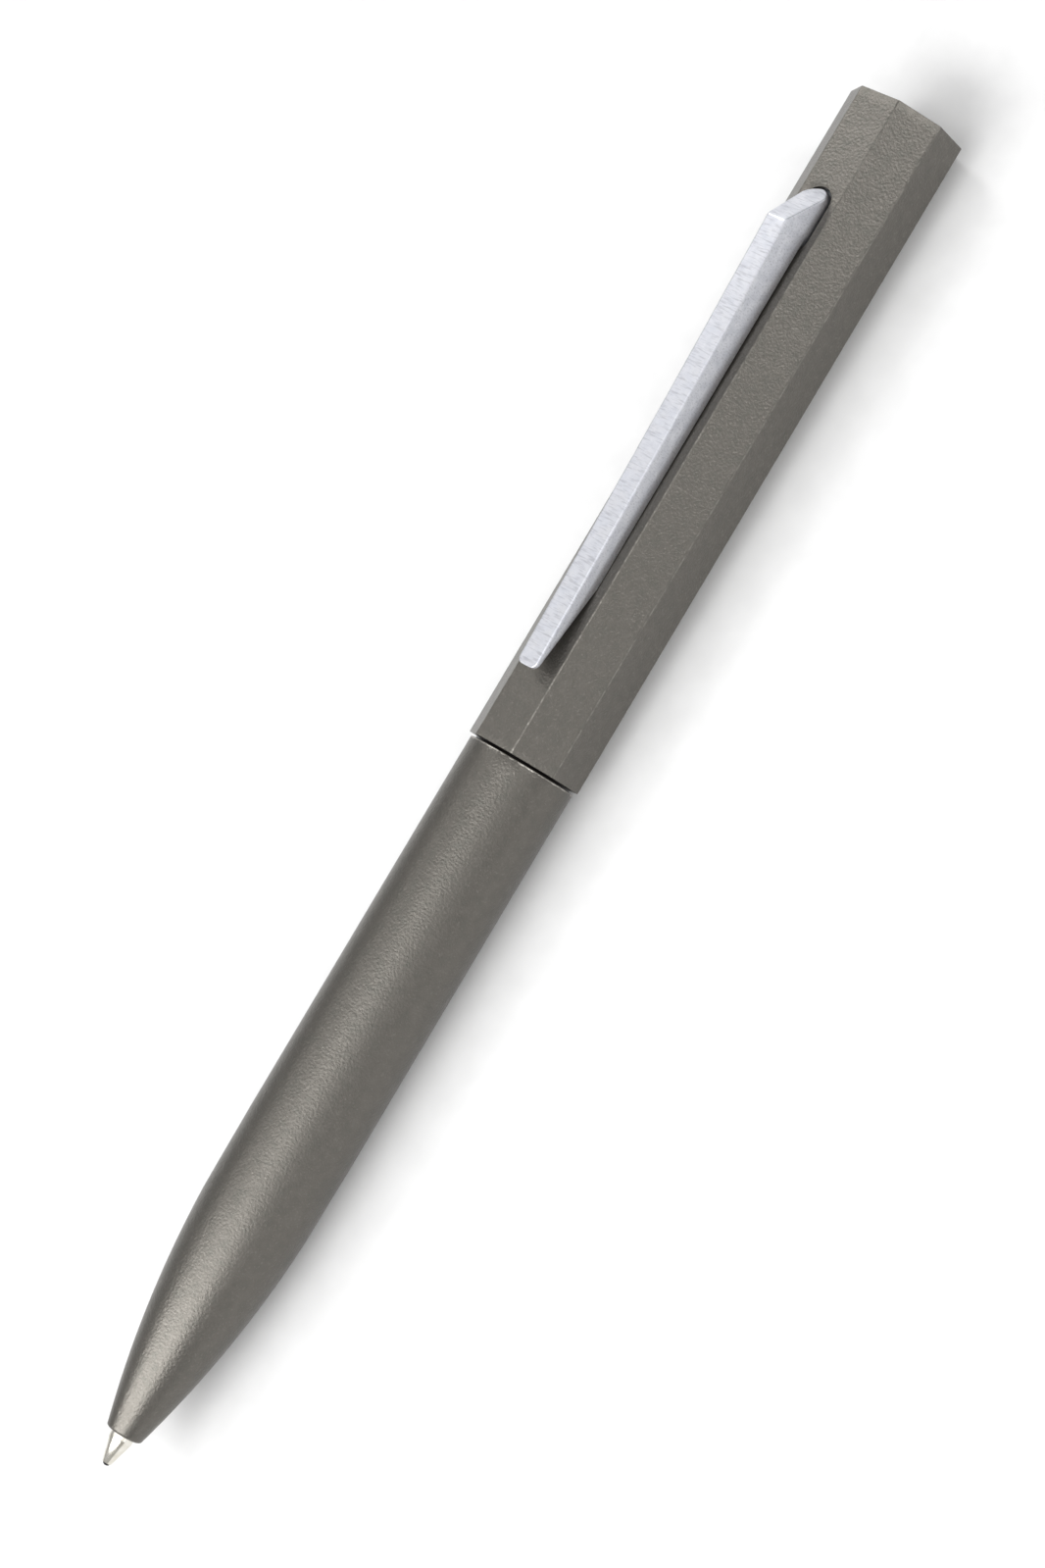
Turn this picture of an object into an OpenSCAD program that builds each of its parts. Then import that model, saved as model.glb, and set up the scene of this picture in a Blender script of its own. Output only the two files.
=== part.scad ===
// Twist-action ballpoint pen with an octagonal upper barrel, built as it comes apart on a bench.
// Each piece is drawn standing up: z runs from the writing ball to the top end, and x points out
// through the clip. lay_down() then puts the pen on its flat, with the point towards -X.

/* [Lower barrel] */
// Wall of the straight stretch that the fingers hold, round the bush
barrel_wall = 0.725; // [0.6:0.005:1]
// How much thinner the pen is where the curved nose ends than at its straight stretch
nose_taper = 0.16; // [0:0.01:0.4]
// Length of the curved nose behind the lip
nose_len = 22.35; // [20:0.05:26]
// How far the nose bulges out of a straight cone
nose_bulge = 0.64; // [0.4:0.01:0.8]
// Length of the slight taper between the nose and the straight stretch
blend_len = 7.8; // [5:0.1:12]
// Wall of the nozzle behind its rounded lip
nozzle_wall = 0.545; // [0.4:0.005:0.7]
// Radius of the nozzle's rounded lip
lip_r = 0.35; // [0.2:0.01:0.4]
// Small round on the rim at the seam
rim_r = 0.12; // [0.05:0.01:0.2]
// Distance from the nozzle's lip back to the seat of the return spring
seat_depth = 4.05; // [3.8:0.05:4.4]
// Step from the refill's bore out to the lightened bore behind the nose
bore_step = 0.6; // [0.2:0.05:0.7]
// Distance from the nozzle's lip back to the lightened bore
wide_depth = 21.5; // [20:0.1:26]

/* [Refill] */
// Length of the whole refill, from the ball to its crown
refill_len = 98.1; // [96:0.1:100]
// Outer diameter of the refill's tube
tube_d = 5.9; // [5.7:0.05:6]
// Wall of the refill's tube
tube_wall = 0.3; // [0.2:0.05:0.5]
// Diameter of the writing ball
ball_d = 0.8; // [0.6:0.05:1]
// How much of the ball stands out of its socket
ball_show = 0.25; // [0.18:0.01:0.29]
// Diameter of the metal point behind its cone
point_d = 2.25; // [2:0.05:2.35]
// Length of the point's cone
cone_len = 2.45; // [2:0.05:3]
// Length of the whole point
point_len = 11; // [10:0.1:12]
// How far the point stands out of the nozzle when it is out
point_reach = 3.15; // [2.8:0.05:3.6]
// Wall of the refill's plastic neck round the point
neck_wall = 0.325; // [0.25:0.005:0.4]
// Distance from the ball to the front of the plastic neck
neck_front = 8.5; // [8.2:0.1:9]
// Distance from the ball to the shoulder that the return spring pushes on
shoulder_at = 12.6; // [12.2:0.1:14]
// Height of the shoulder's flange
shoulder_t = 0.5; // [0.3:0.05:0.8]
// Length of the spigots that close the tube at both ends
spigot_len = 3.5; // [2.5:0.1:5]
// Length of the crown behind the tube
crown_len = 1.7; // [1.2:0.1:2.5]
// Length of empty tube between the ink and the crown
air_len = 10.3; // [5:0.1:60]

/* [Return spring] */
// Wire of the return spring
spring_wire = 0.4; // [0.3:0.02:0.42]
// Working turns of the return spring
spring_turns = 5; // [4:1:5]

/* [Twist mechanism] */
// How far the refill goes back when the pen is twisted
travel = 5.5; // [4.5:0.1:6]
// Twist between point out and point in, in degrees
twist_angle = 180; // [150:5:200]
// Wall of the threaded bush in the lower barrel, outside its thread
bush_wall = 0.5; // [0.4:0.05:0.7]
// Length of the threaded bush
bush_len = 9; // [8:0.1:11]
// Wall of the mechanism's tube inside the thread that joins it to the bush
thread_wall = 0.55; // [0.4:0.05:0.8]
// Pitch of the thread
thread_pitch = 0.75; // [0.5:0.05:1]
// Depth of the thread
thread_depth = 0.25; // [0.15:0.01:0.3]
// Number of turns on the thread
thread_turns = 9; // [6:1:10]
// Distance from the seam up to the cam, which sets how much of the pen is lower barrel
seam_to_cam = 26; // [22:0.1:32]
// Wall of the slotted guide tube
guide_wall = 0.45; // [0.35:0.01:0.6]
// Wall of the cam that turns on the guide tube
cam_wall = 0.55; // [0.45:0.01:0.7]
// Length of the front land
front_land_len = 8; // [6:0.1:10]
// Length of the rear land
rear_land_len = 4.5; // [3:0.1:7]
// How far the collar that shows in the seam reaches out over the bush
collar_reach = 0.3; // [0.15:0.01:0.5]
// Thickness of the collar
collar_t = 0.2; // [0.15:0.01:0.4]
// Diameter of the plunger's two lugs
lug_d = 1.5; // [1.2:0.05:1.7]
// Distance from the plunger's face back to the middle of its lugs
lug_setback = 3.4; // [3:0.1:4.5]
// Length of the plunger
plunger_len = 6.4; // [6:0.1:7.5]
// Length of cam in front of the lugs when the point is out
cam_lead = 3.5; // [2.5:0.1:5]
// Length of cam behind the lugs when the point is in
cam_tail = 2.6; // [2:0.1:3.5]
// Thickness of the washer in front of the cam
washer_t = 0.4; // [0.3:0.05:0.6]
// Thickness of the snap ring behind the cam
snap_t = 0.5; // [0.4:0.05:0.8]
// Thickness of the rubber ring that gives the twist its drag
drag_wire = 0.45; // [0.4:0.01:0.5]

/* [Upper barrel] */
// Room between the drive tube and the clip's carrier, which sets how long the octagonal barrel is
carrier_room = 8.99; // [4:0.01:14]
// Wall of the octagonal barrel in the middle of its flats
flat_wall = 0.7; // [0.55:0.01:1]
// Radius of the octagon's eight long edges
edge_r = 0.3; // [0.1:0.01:0.5]
// Wall of the drive tube that is pressed into the bore
drive_wall = 0.35; // [0.3:0.01:0.37]
// How far the end plug sits below the rim
plug_inset = 0.15; // [0:0.01:0.3]
// Thickness of the end plug's head
plug_t = 1.6; // [1:0.1:2]
// Length of the end plug's skirt below its head
plug_skirt = 1.6; // [1:0.1:2]

/* [Clip] */
// Distance from the top end to the end of the clip's slot
slot_inset = 9.7; // [9.2:0.1:12]
// Length of the clip's foot in the slot
foot_len = 5.98; // [5.6:0.02:6.5]
// Width of the clip at its foot
clip_w = 2.65; // [2.4:0.05:2.8]
// Width of the clip's long front face
clip_front_w = 2.2; // [1.8:0.05:2.3]
// Distance from the end of the foot down to the bend of the clip
bend_setback = 4.6; // [4:0.1:5.5]
// Height of the bend above the flat
bend_h = 3.8; // [3.2:0.05:4.5]
// Length of the clip from the bend to its tip
bar_len = 44.9; // [38:0.1:47]
// Height of the tip's front edge above the flat
tip_h = 1.83; // [1.6:0.01:2.4]
// Height of the tip's under edge above the flat
tip_under_h = 1.45; // [1:0.01:1.5]
// Length of the ramp that lifts the tip off the flat
ramp_len = 9; // [6:0.1:12]
// Radius of the tip's two corners
tip_r = 0.6; // [0.3:0.05:0.9]
// Gap between the clip's pad and the flat
pad_gap = 0.03; // [0.02:0.01:0.08]
// Gap between the clip and the flat in front of its foot
heel_gap = 0.28; // [0.15:0.01:0.4]
// Diameter of the clip's hinge pin
pin_d = 1; // [0.8:0.05:1.1]
// Depth of the hinge pin's middle below the flat
pin_depth = 2.7; // [2.5:0.05:2.8]
// Distance from the end of the foot down to the hinge pin
pin_setback = 3.03; // [2.8:0.01:3.3]
// Length of the hinge pin
pin_len = 5.6; // [4.8:0.1:6]
// Length of the lever that reaches behind the foot
lever_reach = 3.57; // [3.2:0.01:4]
// Width of that lever
lever_w = 2.4; // [2:0.05:2.4]
// Thickness of that lever
lever_t = 0.96; // [0.8:0.02:1.05]
// Thickness of metal round the hinge pin
jaw_t = 0.76; // [0.6:0.02:0.9]
// Wire of the clip's spring
clip_wire = 0.3; // [0.25:0.01:0.34]
// Outside diameter of the clip's spring
clip_spring_od = 2.2; // [2:0.05:2.4]
// Working turns of the clip's spring
clip_turns = 4.5; // [3.5:0.5:5]
// Length of the clip's spring with the clip shut
clip_spring_len = 4; // [3.6:0.1:4.5]
// Length of carrier in front of the clip's foot
carrier_lead = 3; // [2:0.1:6]
// Length of carrier behind the clip's lever
carrier_tail = 1.6; // [1.2:0.1:2]

/* [Clearances] */
// Running clearance, on the radius, of what turns or slides
run_gap = 0.05; // [0.03:0.01:0.07]
// Gap between two faces that turn past each other
face_gap = 0.06; // [0.04:0.01:0.1]
// Room round the clip's foot in its slot, at each side
slot_side_gap = 0.12; // [0.1:0.01:0.16]
// Room behind the clip's foot, which the clip needs to open
slot_end_gap = 0.27; // [0.25:0.01:0.4]
// Room round the clip inside its carrier
pocket_gap = 0.15; // [0.14:0.01:0.2]
// Room round the refill in the lower barrel
refill_gap = 0.15; // [0.1:0.01:0.25]
// Room round the refill in the mechanism's tube
guide_gap = 0.25; // [0.15:0.01:0.3]
// Room between the return spring and the refill's neck inside it
neck_gap = 0.14; // [0.08:0.01:0.2]
// Room round the return spring in its pocket
spring_gap = 0.11; // [0.06:0.01:0.2]
// Room round the point in the nozzle
nozzle_gap = 0.13; // [0.08:0.01:0.15]
// Room round a lug in its spiral slot, which is cut in short steps
cam_gap = 0.1; // [0.08:0.01:0.15]
// Room round the ball for its film of ink
socket_gap = 0.015; // [0.01:0.001:0.03]
// Thickness of the socket's edge, rolled over the ball
socket_lip = 0.06; // [0.04:0.01:0.1]

/* [Hidden] */
$fn = 96;
// How far a cut runs past the face that it opens
overrun = 1;
// Straight pieces that the nose's curve is drawn with
nose_steps = 16;
// Straight pieces that a small round is drawn with
round_steps = 4;
// Straight cuts along each spiral slot of the cam
cam_steps = 12;
// Rings along one turn of a spring, and sides of its wire
coil_rings = 8;
wire_sides = 6;

// Places along the pen, counted from the writing ball
nozzle_z = point_reach;
nose_end_z = nozzle_z + lip_r + nose_len;
straight_z = nose_end_z + blend_len;
spring_seat_z = nozzle_z + seat_depth;
wide_z = nozzle_z + wide_depth;
tube_z = shoulder_at + shoulder_t;
tube_end_z = refill_len - crown_len;
lug_z = refill_len + lug_setback;
cam_z = lug_z - cam_lead;
cam_end_z = lug_z + travel + cam_tail;
rear_land_end_z = cam_z - face_gap - washer_t - face_gap;
snap_z = cam_end_z + face_gap;
guide_end_z = snap_z + 2 * snap_t + run_gap;
drive_end_z = guide_end_z + drive_wall;
seam_z = cam_z - seam_to_cam;
bush_z = seam_z - bush_len;
thread_z = seam_z - (thread_turns + 1) * thread_pitch;
upper_z = seam_z + collar_t + face_gap;

// Radii, from the refill outwards
ball_r = ball_d / 2;
point_r = point_d / 2;
nozzle_bore_r = point_r + nozzle_gap;
nozzle_r = nozzle_bore_r + nozzle_wall;
neck_r = point_r + neck_wall;
spring_r = neck_r + neck_gap + spring_wire;
spring_bore_r = spring_r + spring_gap;
tube_r = tube_d / 2;
tube_inner_r = tube_r - tube_wall;
refill_bore_r = tube_r + refill_gap;
wide_bore_r = refill_bore_r + bore_step;
guide_bore_r = tube_r + guide_gap;
guide_r = guide_bore_r + guide_wall;
thread_root_r = guide_bore_r + thread_wall;
thread_r = thread_root_r + thread_depth;
bush_r = thread_r + bush_wall;
collar_r = bush_r + collar_reach;
barrel_r = bush_r + barrel_wall;
drive_bore_r = guide_r + run_gap + cam_wall;
land_r = drive_bore_r - run_gap;
upper_bore_r = drive_bore_r + drive_wall;
flat_h = upper_bore_r + flat_wall;
socket_r = ball_r + socket_gap;
duct_r = ball_r;
drag_ring_r = drive_bore_r - (run_gap + drag_wire) / 2;
// The snap ring's groove is cut through half of the guide tube's wall
snap_groove_r = (guide_r + guide_bore_r) / 2;
snap_ring_r = (guide_r + 3 * drive_bore_r) / 4;

// Places of the clip and of the top end
carrier_z = drive_end_z + carrier_room;
foot_z = carrier_z + carrier_lead;
foot_end_z = foot_z + foot_len;
slot_end_z = foot_end_z + slot_end_gap;
top_z = slot_end_z + slot_inset;
upper_len = top_z - upper_z;
bend_z = foot_end_z - bend_setback;
tip_z = bend_z - bar_len;
pad_z = tip_z + ramp_len;
pin_z = foot_end_z - pin_setback;
pin_h = flat_h - pin_depth;
seat_r = pin_d / 2 + run_gap;
lever_end_z = foot_end_z + lever_reach;
clip_spring_z = lever_end_z - clip_spring_od / 2 - pocket_gap;
draft = atan((clip_w - clip_front_w) / 2 / bend_h);
lever_h = pin_h + seat_r;
lever_top_h = lever_h + lever_t;
jaw_h = pin_h - seat_r - jaw_t;
jaw_end_z = pin_z + seat_r + jaw_t;

// Paint, metals and plastics
grey_paint = [0.42, 0.41, 0.39];
satin_silver = [0.80, 0.81, 0.84];
brass = [0.78, 0.65, 0.38];
steel = [0.70, 0.71, 0.72];
white_plastic = [0.90, 0.89, 0.85];
black_plastic = [0.12, 0.12, 0.13];
ink_blue = [0.05, 0.07, 0.30];

// The finished pen lies on its flat, centred along its length, with its clip up
module lay_down() {
    translate([-top_z / 2, 0, flat_h]) rotate([0, 90, 0]) rotate([0, 0, 180]) children();
}

// A turned piece: the outline is a list of [radius, place along the pen]
module turned(outline) {
    rotate_extrude() polygon(outline);
}

module tube(r, bore_r, z0, z1) {
    turned([[bore_r, z0], [r, z0], [r, z1], [bore_r, z1]]);
}

// A block as wide as w across the pen, from h0 up to h1
module block(h0, h1, w, z0, z1) {
    translate([h0, -w / 2, z0]) cube([h1 - h0, w, z1 - z0]);
}

// A slot with two round ends along the pen, from h0 up to h1
module milled_slot(h0, h1, w, z0, z1) {
    for (z = [z0 + w / 2, z1 - w / 2])
        translate([h0, 0, z]) rotate([0, 90, 0]) cylinder(d = w, h = h1 - h0);
    block(h0, h1, w, z0 + w / 2, z1 - w / 2);
}

// A rod that points out of the pen towards -Y or +Y at the given height
module side_rod(side, d, z, h) {
    translate([0, 0, z]) rotate([-90 * side, 0, 0]) cylinder(d = d, h = h);
}

// Points of the arc from p to q, which stands out by bulge from an outline that runs up the pen
function arc(p, q, bulge, steps) =
    let (chord = norm(q - p), along = (q - p) / chord, out = [along[1], -along[0]],
        r = (chord * chord / 4 + bulge * bulge) / (2 * bulge),
        middle = (p + q) / 2 - out * (r - bulge), half = asin(chord / 2 / r))
    [for (i = [0:steps]) let (a = half * (1 - 2 * i / steps))
        middle + r * (out * cos(a) - along * sin(a))];

// The arc of a quarter circle from p to q
function quarter(p, q) = arc(p, q, norm(q - p) * (sqrt(2) - 1) / 2, round_steps);

// Thread outline up the pen from z: each turn has a root, a flank, a crest and a flank
root_share = 0.2;
flank_share = 0.25;
crest_share = 0.3;
function thread(root_r, crest_r, z) = [for (i = [0:thread_turns - 1]) each [
    [root_r, z + i * thread_pitch],
    [root_r, z + (i + root_share) * thread_pitch],
    [crest_r, z + (i + root_share + flank_share) * thread_pitch],
    [crest_r, z + (i + root_share + flank_share + crest_share) * thread_pitch]]];

// One unbroken round wire, wound from z0 up to z1 round the z axis
module coil(outer_r, wire, turns, z0, z1) {
    rings = round(turns * coil_rings);
    r = outer_r - wire / 2;
    rise = z1 - z0 - wire;
    points = [for (i = [0:rings], k = [0:wire_sides - 1])
        let (a = 360 * turns * i / rings, b = 360 * k / wire_sides, out = r + wire / 2 * cos(b))
        [out * cos(a), out * sin(a), z0 + wire / 2 + rise * i / rings + wire / 2 * sin(b)]];
    sides = [for (i = [0:rings - 1], k = [0:wire_sides - 1])
        let (a = i * wire_sides + k, b = i * wire_sides + (k + 1) % wire_sides)
        each [[a, b, b + wire_sides], [a, b + wire_sides, a + wire_sides]]];
    start = [for (k = [wire_sides - 1:-1:0]) k];
    end = [for (k = [0:wire_sides - 1]) rings * wire_sides + k];
    polyhedron(points, concat(sides, [start, end]));
}

module lower_barrel() {
    step_z = shoulder_at - face_gap;
    color(grey_paint) lay_down() turned(concat(
        [[nozzle_bore_r, nozzle_z]],
        quarter([nozzle_r - lip_r, nozzle_z], [nozzle_r, nozzle_z + lip_r]),
        arc([nozzle_r, nozzle_z + lip_r], [barrel_r - nose_taper / 2, nose_end_z], nose_bulge,
            nose_steps),
        [[barrel_r, straight_z]],
        quarter([barrel_r, seam_z - rim_r], [barrel_r - rim_r, seam_z]),
        [[bush_r, seam_z], [bush_r, bush_z], [wide_bore_r, bush_z], [wide_bore_r, wide_z],
            [refill_bore_r, wide_z - 2 * bore_step], [refill_bore_r, step_z],
            [spring_bore_r, step_z], [spring_bore_r, spring_seat_z],
            [nozzle_bore_r, spring_seat_z]]));
}

module thread_bush() {
    crest_r = thread_r + run_gap;
    root_r = crest_r - thread_depth;
    turns = thread(root_r, crest_r, thread_z);
    color(brass) lay_down() turned(concat(
        [[root_r, bush_z], [bush_r, bush_z], [bush_r, seam_z], [crest_r, seam_z]],
        [for (i = [len(turns) - 1:-1:0]) turns[i]]));
}

// Screws into the bush; its collar shows in the seam, its two lands carry the upper barrel, and
// its slotted end guides the plunger
module mechanism_tube() {
    land_z = seam_z + collar_t;
    groove_z = land_z + front_land_len / 2 - drag_wire;
    groove_r = drag_ring_r - drag_wire / 2;
    relief_z = land_z + front_land_len;
    rear_land_z = rear_land_end_z - rear_land_len;
    color(brass) lay_down() difference() {
        turned(concat(
            [[guide_bore_r, thread_z]],
            thread(thread_root_r, thread_r, thread_z),
            [[thread_root_r, seam_z - thread_pitch], [thread_root_r, seam_z],
                [collar_r, seam_z], [collar_r, land_z], [land_r, land_z],
                [land_r, groove_z], [groove_r, groove_z],
                [groove_r, groove_z + 2 * drag_wire], [land_r, groove_z + 2 * drag_wire],
                [land_r, relief_z], [guide_r, relief_z], [guide_r, rear_land_z],
                [land_r, rear_land_z], [land_r, rear_land_end_z], [guide_r, rear_land_end_z],
                [guide_r, snap_z], [snap_groove_r, snap_z],
                [snap_groove_r, snap_z + snap_t + run_gap], [guide_r, snap_z + snap_t + run_gap],
                [guide_r, guide_end_z], [guide_bore_r, guide_end_z]]));
        for (side = [-1, 1]) straight_slot(side);
    }
}

// The guide tube's slot for one lug, open at the rear so that the plunger can be put in
module straight_slot(side) {
    w = lug_d + 2 * run_gap;
    side_rod(side, w, lug_z, drive_bore_r);
    translate([-w / 2, side > 0 ? 0 : -drive_bore_r, lug_z])
        cube([w, drive_bore_r, guide_end_z - lug_z + overrun]);
}

module drag_ring() {
    color(black_plastic) lay_down() translate([0, 0, seam_z + collar_t + front_land_len / 2])
        rotate_extrude() translate([drag_ring_r, 0]) circle(d = drag_wire, $fn = 32);
}

module cam_washer() {
    color(steel) lay_down()
        tube(land_r, guide_r + run_gap, rear_land_end_z + face_gap, cam_z - face_gap);
}

// An open ring, so that it can be sprung into its groove
module snap_ring() {
    z = snap_z + run_gap / 2;
    color(steel) lay_down() difference() {
        tube(snap_ring_r, snap_groove_r, z, z + snap_t);
        block(0, drive_bore_r, snap_t + lug_d, z - overrun, z + snap_t + overrun);
    }
}

module return_spring() {
    color(steel) lay_down()
        coil(spring_r, spring_wire, spring_turns, spring_seat_z, shoulder_at - face_gap);
}

// A hollow piston; its two lugs reach through the straight slots into the spiral ones
module plunger() {
    r = guide_bore_r - run_gap;
    end_z = refill_len + plunger_len;
    hollow_z = lug_z + lug_d;
    color(white_plastic) lay_down() difference() {
        union() {
            translate([0, 0, refill_len]) cylinder(r = r, h = plunger_len);
            for (side = [-1, 1]) side_rod(side, lug_d, lug_z, drive_bore_r - 2 * run_gap);
        }
        translate([0, 0, hollow_z]) cylinder(r = r / 2, h = end_z - hollow_z + overrun);
    }
}

module refill_tube() {
    color(steel) lay_down() tube(tube_r, tube_inner_r, tube_z, tube_end_z);
}

// Closes the tube; crossed notches let air in as the ink goes down
module refill_crown() {
    notch = crown_len / 2;
    color(black_plastic) lay_down() difference() {
        turned([[0, tube_end_z - spigot_len], [tube_inner_r, tube_end_z - spigot_len],
            [tube_inner_r, tube_end_z], [tube_r, tube_end_z], [tube_r, refill_len], [0, refill_len]]);
        for (turn = [0, 90]) rotate([0, 0, turn])
            block(-tube_d, tube_d, notch, refill_len - notch, refill_len + overrun);
    }
}

module refill_neck() {
    color(black_plastic) lay_down()
        turned([[point_r, neck_front], [neck_r, neck_front], [neck_r, shoulder_at],
            [tube_r, shoulder_at], [tube_r, tube_z], [tube_inner_r, tube_z],
            [tube_inner_r, tube_z + spigot_len], [duct_r, tube_z + spigot_len],
            [duct_r, point_len], [point_r, point_len]]);
}

module ink_column() {
    z = tube_z + spigot_len;
    color(ink_blue) lay_down() translate([0, 0, z])
        cylinder(r = tube_inner_r, h = tube_end_z - spigot_len - air_len - z);
}

// A turned cone; the edge of its socket is rolled over the ball
module writing_point() {
    socket_rim_r = sqrt(pow(socket_r, 2) - pow(ball_r - ball_show, 2)) + socket_lip;
    color(satin_silver) lay_down() difference() {
        turned([[0, ball_show], [socket_rim_r, ball_show], [point_r, ball_show + cone_len],
            [point_r, point_len], [0, point_len]]);
        translate([0, 0, ball_r]) sphere(r = socket_r);
        translate([0, 0, ball_r]) cylinder(r = duct_r / 2, h = point_len);
    }
}

module writing_ball() {
    color(black_plastic) lay_down() translate([0, 0, ball_r]) sphere(r = ball_r);
}

// An octagon with its flats towards x and y, and round corners
octagon_sides = 8;
function octagon(r, round_r) = [for (i = [0:octagon_sides - 1], k = [0:round_steps])
    let (turn = 360 / octagon_sides, corner = turn * (i + 1 / 2),
        a = corner + turn * (k / round_steps - 1 / 2), middle = (r - round_r) / cos(turn / 2))
    [middle * cos(corner) + round_r * cos(a), middle * sin(corner) + round_r * sin(a)]];

module upper_barrel() {
    color(grey_paint) lay_down() difference() {
        translate([0, 0, upper_z]) linear_extrude(upper_len) polygon(octagon(flat_h, edge_r));
        translate([0, 0, upper_z - overrun]) cylinder(r = upper_bore_r, h = upper_len + 2 * overrun);
        milled_slot(0, flat_h + overrun, clip_w + 2 * slot_side_gap,
            foot_z - slot_end_gap, slot_end_z);
    }
}

// Pressed into the upper barrel; it turns on the mechanism's lands
module drive_tube() {
    color(brass) lay_down()
        tube(upper_bore_r, drive_bore_r, upper_z + drive_wall, drive_end_z);
}

// Pressed into the drive tube; each spiral slot carries one lug up the pen as the cam turns
module spiral_cam() {
    color(white_plastic) lay_down() difference() {
        tube(drive_bore_r, guide_r + run_gap, cam_z, cam_end_z);
        for (turn = [0, 180]) rotate([0, 0, turn]) spiral_slot();
    }
}

// Short straight cuts along the spiral, with a round hole at each end
module spiral_slot() {
    w = lug_d + 2 * cam_gap;
    round_way = (guide_r + drive_bore_r) / 2 * twist_angle * PI / 180;
    cut_len = norm([round_way, travel]) / cam_steps + cam_gap;
    for (share = [0, 1]) rotate([0, 0, -twist_angle * share])
        side_rod(1, w, lug_z + travel * share, upper_bore_r);
    for (i = [0:cam_steps - 1]) let (share = (i + 1 / 2) / cam_steps)
        rotate([0, 0, -twist_angle * share]) translate([0, 0, lug_z + travel * share])
            rotate([0, -atan(travel / round_way), 0])
                translate([-cut_len / 2, 0, -w / 2]) cube([cut_len, upper_bore_r, w]);
}

// Pressed into the upper barrel; its slot takes the clip's foot and lever, and a pocket its spring
module clip_carrier() {
    w = clip_w + 2 * pocket_gap;
    rear_z = lever_end_z + pocket_gap;
    color(black_plastic) lay_down() difference() {
        translate([0, 0, carrier_z])
            cylinder(r = upper_bore_r, h = rear_z + carrier_tail - carrier_z);
        block(jaw_h - 2 * pocket_gap, 2 * upper_bore_r, w, foot_z - 2 * pocket_gap,
            jaw_end_z + 2 * pocket_gap);
        block(lever_h - lever_t, 2 * upper_bore_r, w, pin_z, rear_z);
        translate([pin_h, 0, pin_z]) rotate([90, 0, 0])
            cylinder(d = pin_d, h = 2 * upper_bore_r, center = true);
        translate([lever_h - clip_spring_len, 0, clip_spring_z]) rotate([0, 90, 0])
            cylinder(d = clip_spring_od + 2 * pocket_gap, h = 2 * upper_bore_r);
    }
}

module hinge_pin() {
    color(steel) lay_down() translate([pin_h, 0, pin_z]) rotate([90, 0, 0])
        cylinder(d = pin_d, h = pin_len, center = true);
}

module clip_spring() {
    color(steel) lay_down() translate([lever_h - clip_spring_len, 0, clip_spring_z])
        rotate([0, 90, 0]) coil(clip_spring_od / 2, clip_wire, clip_turns, 0, clip_spring_len);
}

// A cup that closes the top end
module end_plug() {
    head_z = top_z - plug_inset - plug_t;
    color(grey_paint) lay_down() difference() {
        translate([0, 0, head_z - plug_skirt]) cylinder(r = upper_bore_r, h = plug_skirt + plug_t);
        translate([0, 0, head_z - plug_skirt - overrun])
            cylinder(r = upper_bore_r - drive_wall, h = plug_skirt + overrun);
    }
}

// The clip from the side. Its long face sags a little between the tip and the bend.
face_steps = 8;
sag_share = 0.265;
module clip_side() {
    face = [for (i = [0:face_steps]) let (u = i / face_steps)
        [flat_h + tip_h + (bend_h - tip_h) * ((1 - sag_share) * u + sag_share * u * u),
            tip_z + (bend_z - tip_z) * u]];
    heel_z = foot_z + clip_w / 2;
    polygon(concat(face, [[flat_h, foot_end_z], [lever_h, foot_end_z], [lever_h, heel_z],
        [flat_h + heel_gap, heel_z], [flat_h + pad_gap, pad_z], [flat_h + tip_under_h, tip_z]]));
}

// The clip from above: round at the foot, with two rounded corners at the tip
module clip_plan() {
    tip_w = clip_front_w + 2 * (tip_h - tip_under_h) * tan(draft);
    heel_z = foot_end_z - clip_w / 2;
    translate([heel_z, 0]) circle(d = clip_w);
    translate([tip_z + tip_r, -clip_w / 2]) square([heel_z - tip_z - tip_r, clip_w]);
    translate([tip_z, tip_r - tip_w / 2]) square([2 * tip_r, tip_w - 2 * tip_r]);
    for (side = [-1, 1]) translate([tip_z + tip_r, side * (tip_w / 2 - tip_r)]) circle(r = tip_r);
}

// What the mould's draft takes off one side: the clip narrows upwards and towards its tip
module drafted_side() {
    tip_half_w = clip_front_w / 2 + tip_h * tan(draft);
    taper = atan((clip_w / 2 - tip_half_w) / (foot_end_z - tip_z));
    translate([flat_h, clip_w / 2, foot_end_z]) rotate([-taper, 0, -draft])
        translate([-flat_h, 0, -2 * bar_len]) cube([2 * flat_h + bend_h, clip_w, 3 * bar_len]);
}

// A cast bar with a round-ended foot, a lever that reaches back inside the barrel, and a jaw that
// hooks under the hinge pin from the front
module clip() {
    top_h = flat_h + bend_h;
    heel_z = foot_z + clip_w / 2;
    color(satin_silver) lay_down() difference() {
        union() {
            intersection() {
                rotate([90, 0, 0]) linear_extrude(2 * clip_w, center = true) clip_side();
                translate([top_h, 0, 0]) rotate([0, -90, 0]) linear_extrude(top_h) clip_plan();
            }
            translate([lever_h, 0, heel_z]) rotate([0, 90, 0])
                cylinder(d = clip_w, h = flat_h + tip_h - lever_h);
            block(jaw_h, lever_top_h, lever_w, foot_z + pocket_gap, jaw_end_z);
            block(lever_h, lever_top_h, lever_w, foot_z + pocket_gap, lever_end_z);
        }
        translate([pin_h, 0, pin_z]) rotate([90, 0, 0])
            cylinder(r = seat_r, h = 2 * clip_w, center = true);
        block(pin_h - seat_r, pin_h + seat_r, 2 * clip_w, pin_z, jaw_end_z + overrun);
        drafted_side();
        mirror([0, 1, 0]) drafted_side();
    }
}

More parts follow.
